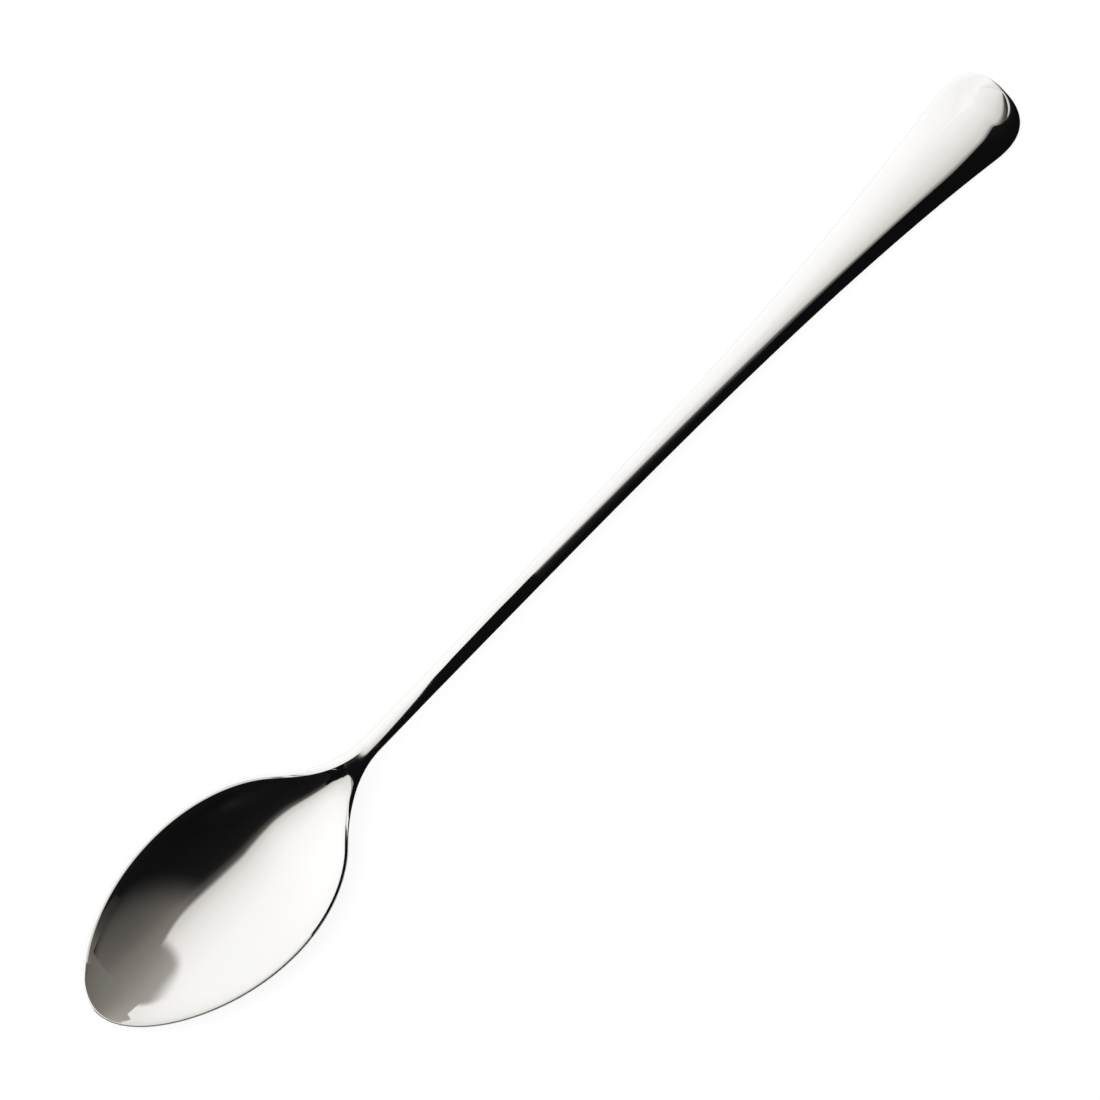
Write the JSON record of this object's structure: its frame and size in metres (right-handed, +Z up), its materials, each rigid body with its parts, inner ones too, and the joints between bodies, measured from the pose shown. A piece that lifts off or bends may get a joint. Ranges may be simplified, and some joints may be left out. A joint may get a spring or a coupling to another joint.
{
  "type": "iced tea spoon",
  "caption": "Long slender spoon in polished steel for stirring tall drinks: oval bowl, thin stem and a handle that widens to a rounded end.",
  "frame": {"origin": "centre of the footprint on the table that the spoon lies on", "axes": "+X from the handle end to the tip of the bowl, +Y across the spoon, +Z up out of the hollow of the bowl"},
  "size_m": [0.195, 0.0294, 0.0081],
  "materials": {
    "steel": "mirror polished stainless steel"
  },
  "bodies": {
    "root": {"spoon": "steel"}
  },
  "joints": []
}
